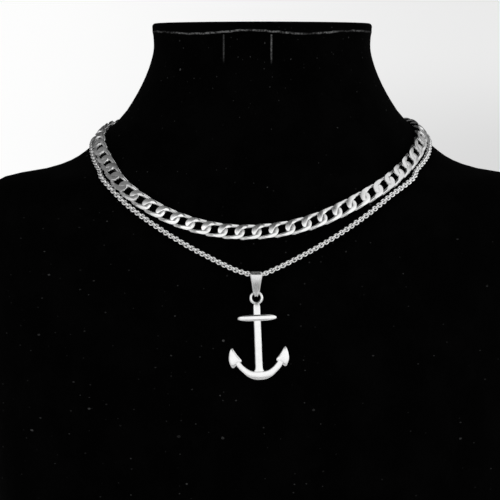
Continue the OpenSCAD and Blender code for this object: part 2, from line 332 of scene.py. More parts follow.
@dataclass(frozen=True)
class VelvetFinish:
    """Black velvet with a short nap, pressed clouds, lint, painted sheen along the fold at the top of the
    neck, and pale seams below it.

    Each kind of lint has the mean distance between its specks and the radius of its largest, in millimetres,
    and the shares of the places that hold one, low on the left and high on the right.
    """

    name: str
    dark: float = 0.0003
    pale: float = 0.0012
    lint: float = 0.05
    # Level of the painted sheen on the fold's rolled edge, and of the pale seams.
    fold_sheen_and_seam_level: float = 0.2
    mean_radius: float = 62.0
    axis_y: float = 16.0
    fine_lint: tuple[float, float, float, float] = (4.6, 0.36, 0.36, 0.2)
    coarse_lint: tuple[float, float, float, float] = (15.0, 0.6, 0.42, 0.16)
    nap_relief: float = 0.12

    def material(self, fold: "NeckFold") -> bpy.types.Material:
        """Material of the velvet.

        Args:
            fold: The fold and the seams at the top of the neck.

        Returns:
            The material.
        """
        r = Recipe.named(self.name)
        place = r.millimetres()
        x, y, z = (r.axis(place, a) for a in "XYZ")
        nap = r.noise(place, 5.5, 3.0, 0.7)
        pressed = r.noise(place, 0.045, 4.0, 0.6)
        wale = r.noise(r.stretched(place, (1.0, 1.0, 0.35)), 1.1, 3.0, 0.6)
        ground = r.blend(
            pressed.rise(0.38, 0.68) * 0.55 + nap * 0.3 + wale.rise(0.4, 0.7) * 0.15,
            grey(self.dark),
            grey(self.pale),
        )
        # Lint on the unrolled cloth, denser low on the left and up the neck, none on the shoulders.
        around = x.angle_from(self.axis_y - y) * self.mean_radius
        spread = r.node("ShaderNodeCombineXYZ", {}, {0: around, 1: z})
        ragged = r.noise(place, 1.3, 3.0, 0.7) * 1.4 + 0.3
        low_left = (x + z * 0.7).rise(-60.0, 160.0)
        neck = z.rise(205.0, 240.0, 0.0, 0.16)
        shoulders = z.rise(165.0, 175.0) * z.rise(205.0, 195.0) * x.magnitude().rise(78.0, 88.0)
        crowd = r.noise(place, 0.02, 2.0).rise(0.4, 0.62, 0.55, 1.3) * (1 - shoulders)
        fine, coarse = (
            self.dots(r, spread, cell, radius, ragged, crowd * (low_left.rise(0.0, 1.0, most, least) + neck))
            for cell, radius, most, least in (self.fine_lint, self.coarse_lint)
        )
        lint = (fine * 0.5).math("MAXIMUM", coarse)
        # Painted sheen along the fold's rolled edge, and the pale seams, laid over the velvet.
        colour = r.blend(fold.mask(r, place) * (nap * 0.7 + 0.4), ground, grey(self.fold_sheen_and_seam_level))
        colour = r.blend(lint, colour, grey(self.lint))
        relief = nap * 0.5 + wale * 0.4 + lint * 0.8
        return r.surface(
            {
                "Base Color": colour,
                "Roughness": 0.95,
                "Specular IOR Level": 0.008,
                "Sheen Weight": 0.004,
                "Sheen Roughness": 0.45,
                "Sheen Tint": grey(0.55),
                "Normal": r.bump(relief, self.nap_relief, 0.8),
            }
        )

    @staticmethod
    def dots(
        r: Recipe, spread: Socket, cell: float, radius: float, ragged: Socket, share: Socket
    ) -> Socket:
        """Ragged specks, one in some cells of a flat cell pattern, each of its own size and level.

        Args:
            r: The material recipe.
            spread: Place on the unrolled cloth, in millimetres.
            cell: Mean distance between cells.
            radius: Radius of the largest speck.
            ragged: Value that varies about 1 and roughens the specks' edges.
            share: Share of the cells that hold a speck.

        Returns:
            A mask with a value from 0 to 1.
        """
        kind, cells = {"voronoi_dimensions": "2D"}, {"Vector": spread, "Scale": 1 / cell}
        near, tint = (r.node("ShaderNodeTexVoronoi", kind, cells, output) for output in ("Distance", "Color"))
        kept, size, level = (
            r.node("ShaderNodeSeparateColor", {}, {0: tint}, name) for name in ("Red", "Green", "Blue")
        )
        reach = (size * 0.7 + 0.3) * ragged * (radius / cell)
        speck = (near - reach).rise(-0.25 * radius / cell, 0.1 * radius / cell, 1.0, 0.0)
        return speck * kept.below(share) * (level * level * 0.8 + 0.2)


# ---- Modelling by hand ----


def use_only(obj: bpy.types.Object) -> None:
    """Selects one object alone and makes it active.

    Args:
        obj: The object.
    """
    bpy.ops.object.select_all(action="DESELECT")
    obj.select_set(True)
    bpy.context.view_layer.objects.active = obj


def added(name: str) -> bpy.types.Object:
    """Names the object that was just made, and its mesh.

    Args:
        name: The name.

    Returns:
        The object.
    """
    obj = bpy.context.object
    obj.name = name
    obj.data.name = name
    return obj


@contextmanager
def edit_mode(obj: bpy.types.Object) -> Iterator[None]:
    """Edit mode on one object for the length of a with block.

    Args:
        obj: The object.

    Yields:
        Nothing.
    """
    use_only(obj)
    bpy.ops.object.mode_set(mode="EDIT")
    yield
    bpy.ops.object.mode_set(mode="OBJECT")


def pick(obj: bpy.types.Object, test: Callable[[Vector], bool]) -> None:
    """Selects the corners that pass a test, in edit mode.

    Args:
        obj: The object in edit mode.
        test: Says of a place whether its corner is picked.
    """
    mesh = bmesh.from_edit_mesh(obj.data)
    bpy.ops.mesh.select_all(action="DESELECT")
    for v in mesh.verts:
        if test(v.co):
            v.select = True
    mesh.select_flush_mode()
    bmesh.update_edit_mesh(obj.data)


def pick_faces(obj: bpy.types.Object, test: Callable[[bmesh.types.BMFace], bool]) -> None:
    """Selects the faces that pass a test, in edit mode.

    Args:
        obj: The object in edit mode.
        test: Says of a face whether it is picked.
    """
    mesh = bmesh.from_edit_mesh(obj.data)
    bpy.ops.mesh.select_all(action="DESELECT")
    for f in mesh.faces:
        if test(f):
            f.select_set(True)
    bmesh.update_edit_mesh(obj.data)


def merge_all(distance: float) -> None:
    """Merges the corners of the mesh in edit mode that are closer than a distance."""
    bpy.ops.mesh.select_all(action="SELECT")
    bpy.ops.mesh.remove_doubles(threshold=distance)


def wire_ring(name: str, radius: float, wire: float, steps: tuple[int, int]) -> bpy.types.Object:
    """Adds a flat ring of round wire.

    Args:
        name: Its name.
        radius: Radius of the wire's middle line.
        wire: Diameter of the wire.
        steps: Sections round the ring, and corners of each section.

    Returns:
        The ring.
    """
    bpy.ops.object.select_all(action="DESELECT")
    bpy.ops.mesh.primitive_torus_add(
        major_segments=steps[0], minor_segments=steps[1], major_radius=radius, minor_radius=wire / 2
    )
    return added(name)


def stretch_ring(ring: bpy.types.Object, reach: float, middle: float) -> None:
    """Stretches a ring along X, by moving its two halves apart in edit mode.

    Args:
        ring: The ring in edit mode.
        reach: How far each half moves.
        middle: Half the width of the band in the middle that stays.
    """
    for way in (-1, 1):
        pick(ring, lambda p: p.x * way > middle)
        bpy.ops.transform.translate(value=(way * reach, 0, 0))


def loft(name: str, sections: Sequence[Sequence[Vector]]) -> bpy.types.Object:
    """Solid drawn out from a flat ring of corners, section by section, with a cap at each end.

    A circle is added, then its face is extruded again and again, and each new face is brought to its section.

    Args:
        name: The piece's name.
        sections: The corners of each section, in the same order and number.

    Returns:
        The piece.
    """

    def key(corner: Vector) -> tuple[float, ...]:
        """Rounded place, by which a corner is found again."""
        return tuple(round(c, 4) for c in corner)

    bpy.ops.mesh.primitive_circle_add(vertices=len(sections[0]), radius=1.0, fill_type="NGON")
    obj = added(name)
    for vertex, corner in zip(obj.data.vertices, sections[0]):
        vertex.co = corner
    with edit_mode(obj):
        bpy.ops.mesh.select_mode(type="VERT")
        bpy.ops.mesh.select_all(action="SELECT")
        for before, section in zip(sections, sections[1:]):
            bpy.ops.mesh.extrude_region_move()
            mesh = bmesh.from_edit_mesh(obj.data)
            places = {key(corner): k for k, corner in enumerate(before)}
            for v in mesh.verts:
                if v.select:
                    v.co = section[places[key(v.co)]]
            bmesh.update_edit_mesh(obj.data)
        bpy.ops.mesh.select_all(action="SELECT")
        bpy.ops.mesh.normals_make_consistent(inside=False)
    return obj


def apply_modifier(obj: bpy.types.Object, kind: str, **settings: object) -> None:
    """Adds a modifier, sets it and applies it.

    Args:
        obj: The piece.
        kind: The modifier's type.
        settings: The modifier's settings.
    """
    use_only(obj)
    modifier = obj.modifiers.new(kind.title(), kind)
    for key, value in settings.items():
        setattr(modifier, key, value)
    bpy.ops.object.modifier_apply(modifier=modifier.name)


def soften(obj: bpy.types.Object, width: float, degrees: float) -> None:
    """Rounds the edges that are sharper than an angle.

    Args:
        obj: The piece.
        width: Width of the rounding.
        degrees: The angle.
    """
    limit = math.radians(degrees)
    apply_modifier(obj, "BEVEL", width=width, segments=2, limit_method="ANGLE", angle_limit=limit)


def smooth_by_angle(obj: bpy.types.Object, degrees: float) -> None:
    """Smooth shading, with edges sharper than an angle kept crisp."""
    use_only(obj)
    bpy.ops.object.shade_smooth_by_angle(angle=math.radians(degrees))


def copies(name: str, pattern: bpy.types.Object, places: Iterable[Matrix]) -> bpy.types.Object:
    """One piece of many copies of a pattern, each with its own mesh at its own place.

    Args:
        name: The piece's name.
        pattern: The modelled shape, which is used up.
        places: The place of each copy, in millimetres.

    Returns:
        The piece.
    """
    made = []
    for place in places:
        copy = pattern.copy()
        copy.data = pattern.data.copy()
        copy.data.transform(place)
        bpy.context.collection.objects.link(copy)
        made.append(copy)
    bpy.data.objects.remove(pattern)
    use_only(made[0])
    for copy in made:
        copy.select_set(True)
    bpy.ops.object.join()
    return added(name)


def dress(obj: bpy.types.Object, material: bpy.types.Material) -> None:
    """Gives a piece one material."""
    obj.data.materials.clear()
    obj.data.materials.append(material)


def settle(obj: bpy.types.Object, material: bpy.types.Material, place: Matrix | None = None) -> None:
    """Brings a piece from its own frame in millimetres to the model's in metres, in its mesh, and dresses it.

    Args:
        obj: The piece.
        material: Its material.
        place: Its place in the model's frame, in millimetres.
    """
    obj.data.transform(Matrix.Scale(MM, 4) @ (place or Matrix.Identity(4)))
    obj.data.update()
    dress(obj, material)


# ---- The bust ----


class Column(IntEnum):
    """Column of the table that gives the bust's form, after the height."""

    HALF_WIDTH = 1
    FRONT = 2
    BACK = 3
    HOLLOW = 4


def smooth_row(rows: Table, x: float, column: int) -> float:
    """Smooth value of a table's column, a cubic through its rows.

    Args:
        rows: The table, with x in its first column.
        x: The wanted x.
        column: The wanted column.

    Returns:
        The value.
    """
    last = len(rows) - 1
    i = 0
    while i < last - 1 and x >= rows[i + 1][0]:
        i += 1

    def slope(k: int) -> float:
        """Slope at a row, from the rows beside it."""
        a, b = rows[max(k - 1, 0)], rows[min(k + 1, last)]
        return (b[column] - a[column]) / (b[0] - a[0])

    h = rows[i + 1][0] - rows[i][0]
    t = (x - rows[i][0]) / h
    return (
        (2 * t**3 - 3 * t**2 + 1) * rows[i][column]
        + (t**3 - 2 * t**2 + t) * h * slope(i)
        + (3 * t**2 - 2 * t**3) * rows[i + 1][column]
        + (t**3 - t**2) * h * slope(i + 1)
    )


@dataclass(frozen=True)
class BustForm:
    """The bust's surface, as the model's source gives it.

    Each row is a height, the half width, the depths of the front and the back, and the hollow that thins the
    bust towards its sides.
    """

    axis_y: float = 16.0
    rim_radius: float = 1.6
    neck_top: float = 258.0
    rows: Table = (
        (0, 124, 81, 50, 0), (3, 127, 84, 53, 0), (30, 131, 86, 54, 0), (60, 133.5, 85, 54, 0.02),
        (90, 134.5, 82, 54, 0.06), (110, 134.5, 78.5, 53.5, 0.1), (130, 134.5, 74, 53, 0.14),
        (150, 134.5, 69, 52, 0.2), (165, 134.3, 65, 51, 0.28), (176, 133, 61.8, 50, 0.35),
        (183, 129.6, 59.6, 49.2, 0.4), (187, 121.5, 58.3, 48.8, 0.4), (190, 104.5, 57.3, 48.4, 0.34),
        (194, 92.5, 56, 48, 0.24), (200, 83.5, 53.8, 47, 0.12), (208, 75, 50.8, 45.4, 0.03),
        (216, 66.8, 47.8, 43.8, 0), (224, 61.4, 45.2, 42.4, 0), (232, 57.1, 43.4, 41.4, 0),
        (240, 53.9, 42.4, 40.8, 0), (248, 52.1, 42.2, 40.6, 0), (258, 52.8, 42.8, 40.9, 0),
    )

    def section(self, z: float, front: bool) -> tuple[float, float, float]:
        """Half width, depth and hollow of one half at a height.

        Args:
            z: The height.
            front: True for the front half.

        Returns:
            The three values.
        """
        depth = Column.FRONT if front else Column.BACK
        return tuple(smooth_row(self.rows, z, column) for column in (Column.HALF_WIDTH, depth, Column.HOLLOW))

    def outline(self, turn: float, z: float) -> Vector:
        """Point of the outline at a height.

        Args:
            turn: Running angle in degrees, which spaces the points evenly.
            z: The height.

        Returns:
            The point.
        """
        s, c = math.sin(math.radians(turn)), math.cos(math.radians(turn))
        width, depth, hollow = self.section(z, c > 0)
        thin = 1 - hollow * s**2
        return Vector((width * s, self.axis_y - depth * c * thin, z))

    def skin(self, angle: float, z: float) -> Vector:
        """Point of the bust at a true angle.

        Args:
            angle: Angle round the neck in degrees, from the front.
            z: The height.

        Returns:
            The point.
        """
        s, c = math.sin(math.radians(angle)), math.cos(math.radians(angle))
        width, depth, hollow = self.section(z, c > 0)
        turn = math.radians(angle)
        for _ in range(6):
            thin = 1 - hollow * math.sin(turn) ** 2
            turn = math.atan2(s * depth * thin, c * width)
        return self.outline(math.degrees(turn), z)

    def normal(self, angle: float, z: float) -> Vector:
        """Outward direction of the surface.

        Args:
            angle: Angle round the neck in degrees.
            z: The height.

        Returns:
            The direction.
        """
        round_it = self.skin(angle + 1, z) - self.skin(angle - 1, z)
        up_it = self.skin(angle, z + 1) - self.skin(angle, z - 1)
        return round_it.cross(up_it).normalized()

    def off(self, angle: float, z: float, gap: float) -> Vector:
        """Point that stands off the surface by a gap."""
        return self.skin(angle, z) + gap * self.normal(angle, z)


@dataclass(frozen=True)
class NeckFold:
    """The turned edge of the velvet round the top of the neck, and the two short seams below it."""

    mid_height: float = 254.9
    wave: float = 0.75
    wave_length: float = 50.0
    crest_x: float = -5.8
    bulge: float = 0.6
    bulge_width: float = 0.8
    tuck: float = 0.35
    tuck_drop: float = 2.2
    tuck_width: float = 0.9
    seam_xs: Pair = (-17.9, 4.0)
    seam_levels: Pair = (0.35, 0.9)
    seam_low: float = 239.8
    seam_top: float = 253.7
    seam_depth: float = 0.3
    seam_width: float = 0.7
    front_y: float = 12.0

    def height(self, x: float) -> float:
        """Height of the fold's line above the base at a place across the neck."""
        return self.mid_height + self.wave * math.cos(math.tau * (x - self.crest_x) / self.wave_length)

    def mask(self, r: Recipe, place: Socket) -> Socket:
        """Shader mask of the painted sheen along the fold's rolled edge, a broken line, and of the two pale
        seams, on the front of the neck.

        Args:
            r: The material recipe.
            place: The place, in millimetres.

        Returns:
            The mask.
        """
        x, y, z = (r.axis(place, a) for a in "XYZ")
        turn = (x - self.crest_x) * (math.tau / self.wave_length)
        height = turn.cosine() * self.wave + self.mid_height
        offset = (z - height + (r.noise(place, 0.3, 2.0) - 0.5) * 0.9).magnitude()
        # The fold's line is painted sheen where light catches the rolled edge, broken up along its length.
        sheen_breaks = r.noise(place, 0.85, 3.0, 0.7).rise(0.4, 0.6, 0.1, 1.0)
        runs = r.noise(place, 0.055, 2.0).rise(0.38, 0.6, 0.2, 1.0)
        line = offset.rise(0.15, 0.6, 1.0, 0.0) * sheen_breaks * runs
        first, second = (
            (x - seam_x).magnitude().rise(0.15, 0.5, level, 0.0)
            for seam_x, level in zip(self.seam_xs, self.seam_levels)
        )
        reach = z.rise(self.seam_low, self.seam_low + 5.0) * z.below(self.seam_top)
        fray = r.noise(place, 0.9, 3.0, 0.7).rise(0.35, 0.55, 0.25, 0.8)
        seams = first.math("MAXIMUM", second) * reach * fray
        return line.math("MAXIMUM", seams) * y.below(self.front_y)

    def stand(self, x: float, z: float) -> float:
        """How far the cloth stands out on the front of the neck.

        Args:
            x: Place across the neck.
            z: Height.

        Returns:
            The distance outwards.
        """

        def mound(offset: float, width: float) -> float:
            """Rounded bump of height 1 and a given width."""
            return math.exp(-((offset / width) ** 2))

        over = z - self.height(x)
        fold = self.bulge * mound(over, self.bulge_width)
        tuck = self.tuck * mound(over + self.tuck_drop, self.tuck_width)
        if not self.seam_low < z < self.seam_top:
            return fold - tuck
        grooves = sum(mound(x - seam_x, self.seam_width) for seam_x in self.seam_xs)
        return fold - tuck - self.seam_depth * grooves


@dataclass
class NeckBust:
    """The velvet-covered display bust.

    The foot holds the heights of its first rings, and the top the inset and rise of each ring in the rim.
    """

    form: BustForm
    fold: NeckFold
    sides: int = 176
    height_step: float = 4.0
    fine_step: float = 0.7
    fine_from: float = 238.0
    foot: tuple[float, ...] = (0.0, 0.6, 1.4, 3.0, 6.0, 10.0)
    chest_from: float = 14.0
    shoulders: Pair = (172.0, 206.0)
    base_insets: tuple[float, ...] = (30.0, 4.0, 0.8)
    top: tuple[Pair, ...] = ((3.5, 1.5), (9.0, 1.0), (18.0, 0.6), (30.0, 0.5))
    rim_angles: tuple[float, ...] = (18, 36, 54, 72, 90)
    fold_margin: float = 6.0
    crisp_angle: float = 60.0
    finish: VelvetFinish = VelvetFinish("velvet")

    def heights(self) -> list[float]:
        """Heights of the modelled rings, closer together at the foot, the shoulders and the neck's top.

        Returns:
            The heights.
        """
        marks = [*self.foot]
        z = self.chest_from
        while z < self.fine_from:
            marks.append(z)
            z += self.height_step / 2 if self.shoulders[0] < z < self.shoulders[1] else self.height_step
        while z < self.form.neck_top - self.fine_step / 2:
            marks.append(z)
            z += self.fine_step
        return [*marks, self.form.neck_top]

    def ring(self, z: float, inset: float = 0.0, rise: float = 0.0) -> list[Vector]:
        """Ring of corners round the bust.

        Args:
            z: Height on the form.
            inset: Distance inwards, for the rim.
            rise: Height above z, for the rim.

        Returns:
            The corners.
        """
        ring = []
        for k in range(self.sides):
            p = self.form.outline(-360.0 * k / self.sides, z)
            out = Vector((p.x, p.y - self.form.axis_y, 0)).normalized()
            stand = 0.0
            if z > self.fold.seam_low - self.fold_margin:
                stand = self.fold.stand(p.x, z + rise) * max(0.0, -out.y) ** 0.5
            ring.append(p + (stand - inset) * out + Vector((0, 0, rise)))
        return ring

    def build(self) -> bpy.types.Object:
        """Models the bust, its rolled rim and its slightly dished top.

        Returns:
            The piece.
        """
        r = self.form.rim_radius
        rim = [
            (r * (1 - math.cos(math.radians(a))), r * math.sin(math.radians(a)))
            for a in self.rim_angles
        ]
        rings = [self.ring(0.0, inset) for inset in self.base_insets]
        rings += [self.ring(z) for z in self.heights()]
        rings += [self.ring(self.form.neck_top, inset, rise) for inset, rise in (*rim, *self.top)]
        bust = loft("velvet_bust", rings)
        smooth_by_angle(bust, self.crisp_angle)
        settle(bust, self.finish.material(self.fold))
        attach(bust, "display")
        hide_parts("neck_bust")
        return bust


# ---- Routes and chains ----


def running_lengths(points: Sequence[Vector]) -> list[float]:
    """Running length of a line at each of its points.

    Args:
        points: The line's points.

    Returns:
        The lengths.
    """
    lengths = [0.0]
    for a, b in zip(points, points[1:]):
        lengths.append(lengths[-1] + (b - a).length)
    return lengths


def stretch_at(lengths: Sequence[float], s: float) -> tuple[int, float]:
    """Stretch of a line that holds a running length.

    Args:
        lengths: Running length at each of the line's points.
        s: The running length.

    Returns:
        The stretch's number, and the share of it that is passed.
    """
    i = 0
    while i < len(lengths) - 2 and s >= lengths[i + 1]:
        i += 1
    return i, (s - lengths[i]) / (lengths[i + 1] - lengths[i])


@dataclass
class Strand:
    """A chain's line, laid on the bust through rows of [angle round the neck, height, gap].

    Each point is evened out with a number of its neighbours on each side.
    """

    form: BustForm
    rows: Table
    lift: float
    even: int = 0
    per_row: int = 6
    angles: list[float] = field(default_factory=list)
    points: list[Vector] = field(default_factory=list)
    lengths: list[float] = field(default_factory=list)

    def __post_init__(self) -> None:
        """Works out the line's points and running lengths."""
        for a, b in zip(self.rows, self.rows[1:]):
            self.angles += [a[0] + (b[0] - a[0]) * k / self.per_row for k in range(self.per_row)]
        self.angles.append(self.rows[-1][0])
        gaps = (self.lift + smooth_row(self.rows, angle, 2) for angle in self.angles)
        laid = [self.form.off(angle, self.height(angle), gap) for angle, gap in zip(self.angles, gaps)]
        self.points = [self.evened(laid, i) for i in range(len(laid))]
        self.lengths = running_lengths(self.points)

    def height(self, angle: float) -> float:
        """Height of the line at an angle."""
        return smooth_row(self.rows, angle, 1)

    def evened(self, laid: Sequence[Vector], i: int) -> Vector:
        """A laid point evened out with its neighbours, the line's ends kept.

        Args:
            laid: The laid points.
            i: The point's number.

        Returns:
            The evened point.
        """
        n = self.even
        if i < n or i > len(laid) - n - 1:
            return laid[i]
        weights = [n + 1 - abs(k) for k in range(-n, n + 1)]
        total = Vector((0, 0, 0))
        for weight, k in zip(weights, range(i - n, i + n + 1)):
            total += weight * laid[k]
        return total / sum(weights)

    def point(self, s: float) -> Vector:
        """Place at a running length."""
        i, t = stretch_at(self.lengths, s)
        return self.points[i].lerp(self.points[i + 1], t)

    def outward(self, s: float) -> Vector:
        """Outward direction of the bust beside the line.

        Args:
            s: Running length along the line.

        Returns:
            The direction.
        """
        i, t = stretch_at(self.lengths, s)
        angle = self.angles[i] + t * (self.angles[i + 1] - self.angles[i])
        return self.form.normal(angle, self.height(angle))


def axes_at(place: Vector, along: Vector, outward: Vector, roll: float) -> Matrix:
    """Matrix that lays X along a line and Z outwards.

    Args:
        place: Where the origin goes.
        along: Direction of the line.
        outward: Outward direction.
        roll: Turn about X in degrees.

    Returns:
        The matrix.
    """
    t = along.normalized()
    across = outward.cross(t).normalized()
    up = t.cross(across)
    c, s = math.cos(math.radians(roll)), math.sin(math.radians(roll))
    b = c * across + s * up
    out = t.cross(b)
    m = Matrix((t, b, out)).transposed().to_4x4()
    m.translation = place
    return m


@dataclass
class CurbChain:
    """The flat curb chain: stretched rings, twisted, linked and ground flat on both sides.

    The wire, the link's length and the plays set the pitch as in the model's source. The bend and side sizes
    are those of the wire as it is drawn here, a little fuller.
    """

    form: BustForm
    width: float = 7.4
    thickness: float = 2.6
    wire: float = 1.75
    link_length: float = 11.45
    bend_wire: float = 2.42
    side_wire: float = 2.15
    drawn_length: float = 12.55
    bend_depth: float = 3.1
    side_depth: float = 2.7
    side_share: float = 0.8
    ground: float = 2.4
    twist: float = 38.0
    cuts: tuple[float, ...] = (-1.2, -0.4, 0.4, 1.2)
    sliver: float = 0.05
    edge_round: float = 0.14
    end_wire: float = 1.1
    link_play: float = 0.3
    ring_play: float = 0.5
    ring_roll: float = 29.0
    rolled_links: int = 3
    yaw: float = 4.5
    evened: int = 5
    outward_span: float = 0.7
    steps: tuple[int, int] = (40, 16)
    ground_angle: float = 28.0
    crisp_angle: float = 32.0
    rows: Table = (
        (-165.4, 217.5, 1.7), (-155, 217.2, 1.3), (-140, 215.4, 0.85), (-125, 212.2, 0.8),
        (-112, 209.6, 0.8), (-100, 208.4, 0.8), (-90, 207.2, 0.7), (-80, 203.5, 0.6),
        (-70, 196, 0.85), (-60, 188.4, 1.25), (-50, 180.4, 0.75), (-40, 173.4, 0.5),
        (-30, 168.6, 0.45), (-20, 165.8, 0.45), (-10, 164.5, 0.45), (0, 164.9, 0.45),
        (10, 166.3, 0.45), (20, 169.2, 0.45), (30, 173.7, 0.45), (40, 179.4, 0.5),
        (50, 185.5, 0.5), (60, 191.2, 0.75), (70, 199, 0.75), (80, 205.6, 0.65),
        (90, 208.8, 0.65), (100, 209.6, 0.7), (112, 210.4, 0.7), (125, 212.6, 0.7),
        (140, 215.6, 0.8), (155, 217.2, 1.3), (165.4, 217.5, 1.7),
    )
    finish: SteelFinish = SteelFinish("curb_steel", level=0.76, roughness=0.18, haze=0.16)

    def link(self) -> bpy.types.Object:
        """Models one link, with its length along X and its faces up and down.

        Returns:
            The link.
        """
        half_width = (self.width - self.side_wire) / 2
        link = wire_ring("link", half_width, self.bend_wire, self.steps)
        self.shape_wire(link, half_width)
        with edit_mode(link):
            stretch_ring(link, (self.drawn_length - self.bend_wire) / 2 - half_width, self.sliver)
            for x in self.cuts:
                bpy.ops.mesh.select_all(action="SELECT")
                bpy.ops.mesh.bisect(plane_co=(x, 0, 0), plane_no=(1, 0, 0))
        self.turn_ends(link)
        with edit_mode(link):
            for way in (-1, 1):
                face = (0, 0, way * self.ground / 2)
                bpy.ops.mesh.select_all(action="SELECT")
                bpy.ops.mesh.bisect(plane_co=face, plane_no=(0, 0, way), use_fill=True, clear_outer=True)
            merge_all(self.sliver)
        soften(link, self.edge_round, self.ground_angle)
        smooth_by_angle(link, self.crisp_angle)
        return link

    def shape_wire(self, link: bpy.types.Object, radius: float) -> None:
        """Gives the round ring's wire its width and depth, at the bends and at the future straights.

        Args:
            link: The round ring, before it is stretched.
            radius: Radius of the ring's middle line.
        """
        for vertex in link.data.vertices:
            flat = Vector((vertex.co.x, vertex.co.y))
            share = min(1.0, abs(flat.normalized().x) / self.side_share)
            bend = share * share * (3 - 2 * share)
            width = self.side_wire + (self.bend_wire - self.side_wire) * bend
            depth = self.side_depth + (self.bend_depth - self.side_depth) * bend
            flat = flat.normalized() * (radius + (flat.length - radius) * width / self.bend_wire)
            vertex.co = Vector((flat.x, flat.y, vertex.co.z * depth / self.bend_wire))

    def turn_ends(self, link: bpy.types.Object) -> None:
        """Twists the link about its length, one end each way.

        Args:
            link: The stretched link.
        """
        reach = (self.link_length - self.wire) / 2
        for vertex in link.data.vertices:
            turn = -math.radians(self.twist) * vertex.co.x / reach
            vertex.co = Matrix.Rotation(turn, 3, "X") @ vertex.co

    def places(self) -> list[Matrix]:
        """Place of each link along the strand.

        Returns:
            The places, in millimetres.
        """
        strand = Strand(self.form, self.rows, self.thickness / 2, even=self.evened)
        lead = (self.link_length - self.wire) / 2 - self.wire / 2 - self.end_wire / 2 - self.ring_play
        span = strand.lengths[-1] - 2 * lead
        count = 1 + round(span / (self.link_length - 2 * self.wire - self.link_play))
        pitch = span / (count - 1)
        reach = self.outward_span * pitch
        turned = Matrix.Rotation(math.radians(self.yaw), 4, "Z")
        made = []
        for i in range(count):
            s = lead + i * pitch
            beside = ((1, -reach), (2, 0), (1, reach))
            outward = sum((weight * strand.outward(s + step) for weight, step in beside), Vector((0, 0, 0)))
            along = strand.point(s + pitch / 2) - strand.point(s - pitch / 2)
            from_end = min(i, count - 1 - i)
            roll = (1 if i < count / 2 else -1) * self.ring_roll * max(0.0, 1 - from_end / self.rolled_links)
            made.append(axes_at(strand.point(s), along, outward.normalized(), roll) @ turned)
        return made

    def build(self) -> bpy.types.Object:
        """Models a link and lays the copies round the neck.

        Returns:
            The piece.
        """
        chain = copies("curb_chain_links", self.link(), self.places())
        settle(chain, self.finish.material())
        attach(chain, "display")
        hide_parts("curb_chain")
        return chain


@dataclass
class FineChain:
    """The fine chain: small round links, alternately face on and edge on, each a little off its turn."""

    form: BustForm
    diameter: float = 2.1
    drawn_width: float = 2.85
    wire: float = 0.84
    pitch: float = 1.41
    link_play: float = 0.08
    middle: float = 0.02
    roll: float = -20.0
    uneven: float = 4.0
    uneven_step: float = 1.7
    steps: tuple[int, int] = (12, 6)
    left: Table = (
        (-165.2, 212.9, 1.6), (-155, 212.6, 0.8), (-140, 210.8, 0.3), (-125, 207.4, 0.3),
        (-112, 204.8, 0.3), (-100, 203.8, 0.3), (-90, 202.9, 0.3), (-80, 199.6, 0.3),
        (-70, 192.2, 0.3), (-60, 185.4, 0.3), (-50, 175.4, 0.3), (-40, 167, 0.3),
        (-30, 159.8, 0.3), (-20, 153.6, 0.4), (-10, 148, 1.2), (-4.6, 146, 1.8),
    )
    right: Table = (
        (-0.2, 146, 1.8), (3.3, 147.8, 1.5), (10, 151.6, 0.8), (20, 157.7, 0.4),
        (30, 164.4, 0.3), (40, 172.1, 0.3), (50, 180.7, 0.3), (60, 187.7, 0.3),
        (70, 194.1, 0.3), (80, 201.1, 0.3), (90, 204.4, 0.3), (100, 205.2, 0.3),
        (112, 206.1, 0.3), (125, 208, 0.3), (140, 211, 0.3), (155, 212.6, 0.8),
        (165.2, 212.9, 1.6),
    )
    # Its steel is paler than the other pieces' steel: part of that level is painted light, which brightens
    # the small links.
    finish: SteelFinish = SteelFinish("fine_steel", level=0.99, roughness=0.2, haze=0.08)
    line: list[tuple[Vector, Vector]] = field(default_factory=list)
    lengths: list[float] = field(default_factory=list)
    hang_point: Vector = field(default_factory=Vector)

    def __post_init__(self) -> None:
        """Works out the line, point by point with the outward direction, and where the bail hangs on it."""
        halves = [Strand(self.form, rows, self.diameter / 2) for rows in (self.left, self.right)]
        for half in halves:
            self.line += [(point, half.outward(s)) for s, point in zip(half.lengths, half.points)]
        self.lengths = running_lengths([point for point, _ in self.line])
        self.hang_point = (halves[0].points[-1] + halves[1].points[0]) / 2

    def at(self, s: float) -> tuple[Vector, Vector]:
        """Place and outward direction at a running length.

        Args:
            s: The running length.

        Returns:
            The place and the direction.
        """
        i, t = stretch_at(self.lengths, s)
        (place, out), (next_place, next_out) = self.line[i], self.line[i + 1]
        return place.lerp(next_place, t), out.lerp(next_out, t)

    def link(self) -> bpy.types.Object:
        """Models one link, with its length along X.

        Returns:
            The link.
        """
        link = wire_ring("small_link", (self.drawn_width - self.wire) / 2, self.wire, self.steps)
        with edit_mode(link):
            reach = (self.pitch + 2 * self.wire - self.link_play - self.drawn_width) / 2
            stretch_ring(link, reach, self.middle)
        bpy.ops.object.shade_smooth()
        return link

    def places(self) -> list[Matrix]:
        """Place of each link, every other one turned by a right angle.

        Returns:
            The places, in millimetres.
        """
        end = self.lengths[-1]
        count = round(end / self.pitch)
        step = end / count
        made = []
        for i in range(count):
            s = (i + 0.5) * step
            place, outward = self.at(s)
            along = self.at(min(s + step / 2, end))[0] - self.at(max(s - step / 2, 0))[0]
            roll = self.roll + 90.0 * (i % 2) + self.uneven * math.sin(i * self.uneven_step)
            made.append(axes_at(place, along, outward, roll))
        return made

    def build(self) -> bpy.types.Object:
        """Models a link and lays the copies along the line.

        Returns:
            The piece.
        """
        chain = copies("fine_chain_links", self.link(), self.places())
        settle(chain, self.finish.material())
        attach(chain, "display")
        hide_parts("fine_chain")
        return chain


# ---- The pendant ----


